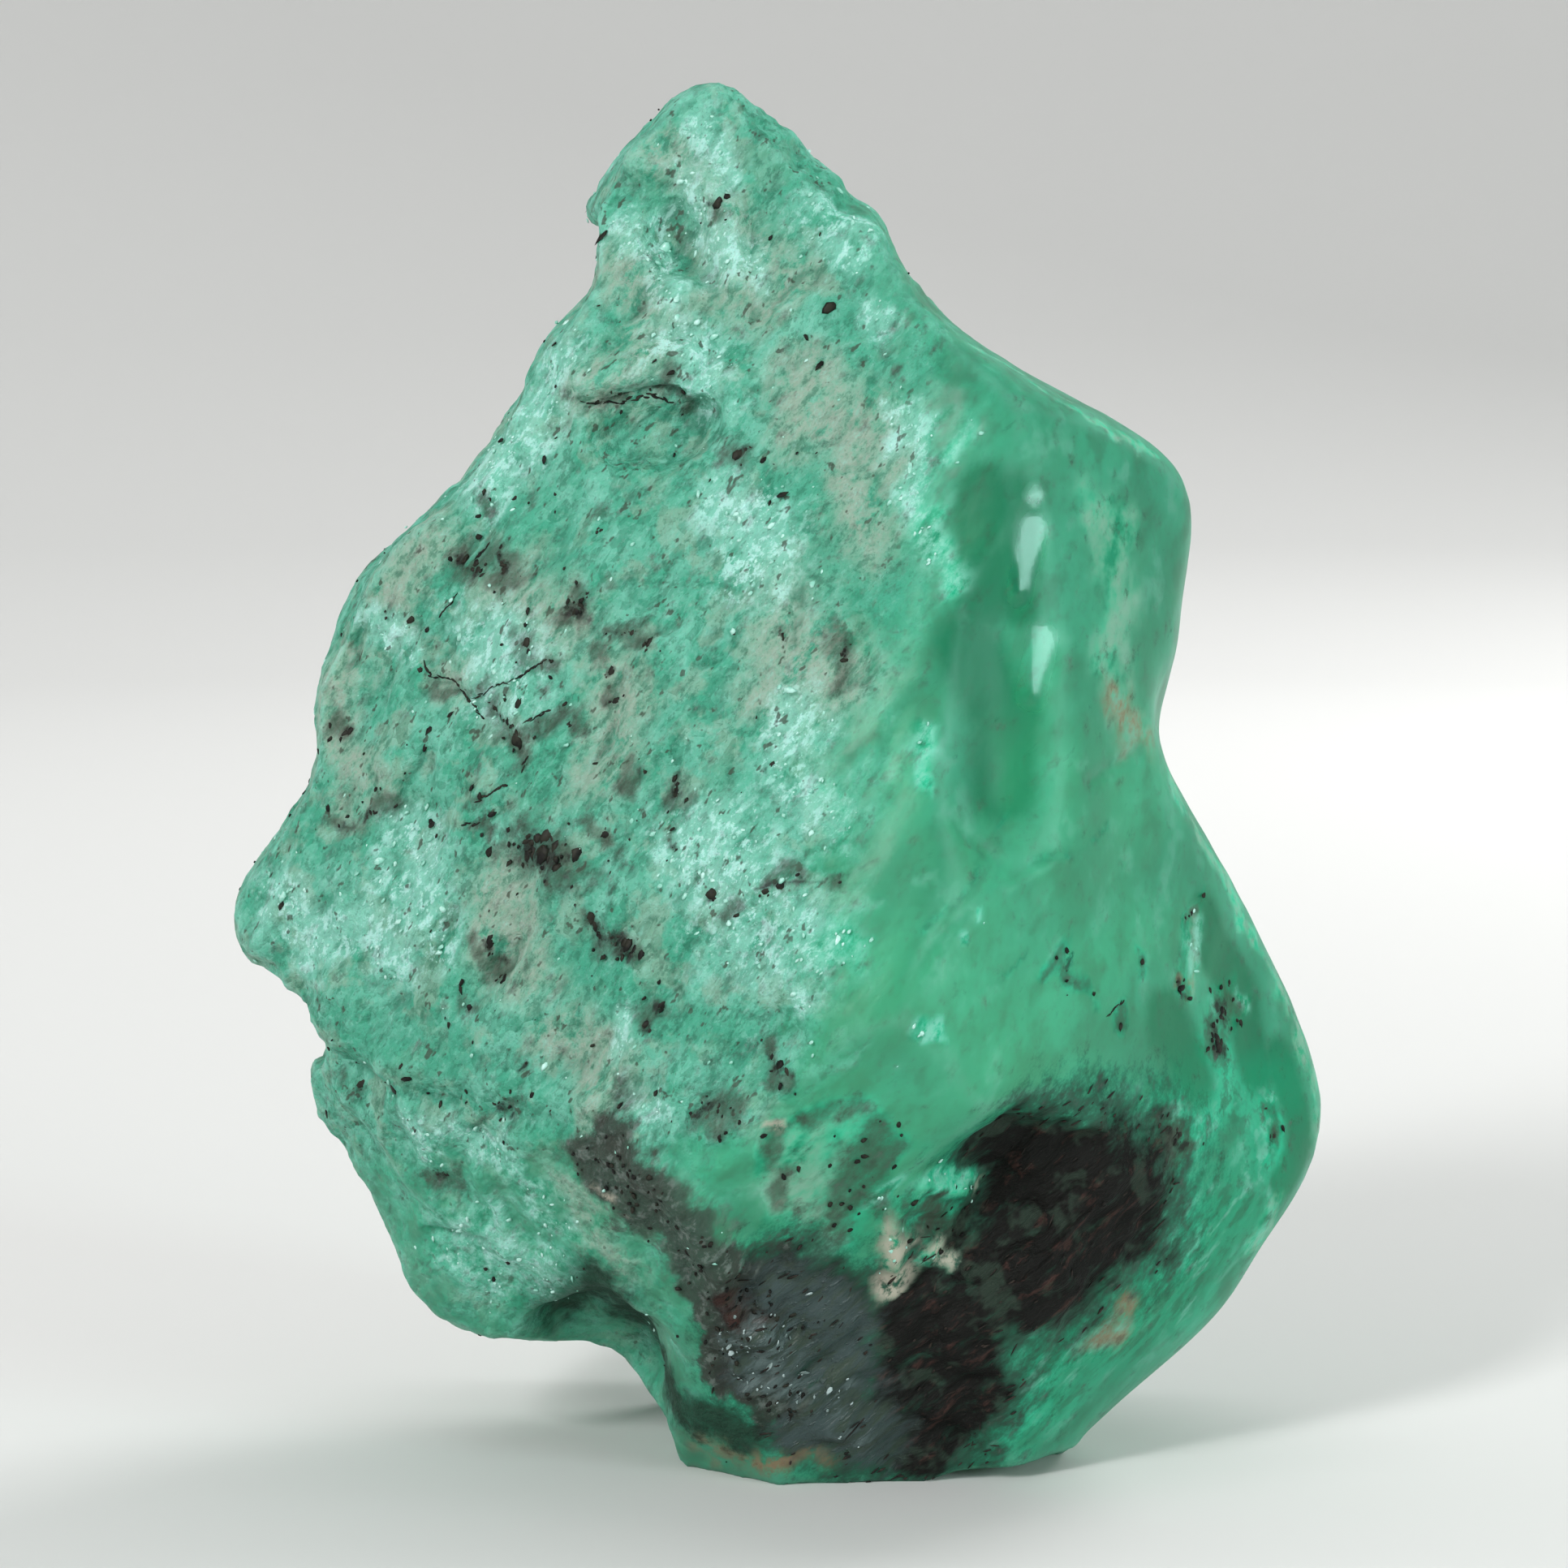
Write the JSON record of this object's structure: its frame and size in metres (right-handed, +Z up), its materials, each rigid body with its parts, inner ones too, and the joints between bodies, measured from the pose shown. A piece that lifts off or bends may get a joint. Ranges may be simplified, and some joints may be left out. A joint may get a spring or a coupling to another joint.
{
  "type": "raw emerald crystal",
  "caption": "Rough fragment of green beryl with dark mica schist grown through its foot, standing on its broken base",
  "frame": {"origin": "centre of the bounding box's foot, on the plane of the broken base", "axes": "+Z up along the stone's height, +X to the right and +Y away from the viewer who faces the stone's best side"},
  "size_m": [0.0276, 0.0178, 0.034],
  "materials": {
    "emerald_stone": "translucent green beryl, frosted on the left front and glossy on the right, with black mica schist"
  },
  "bodies": {
    "root": {"emerald_stone": "emerald_stone"}
  },
  "joints": []
}
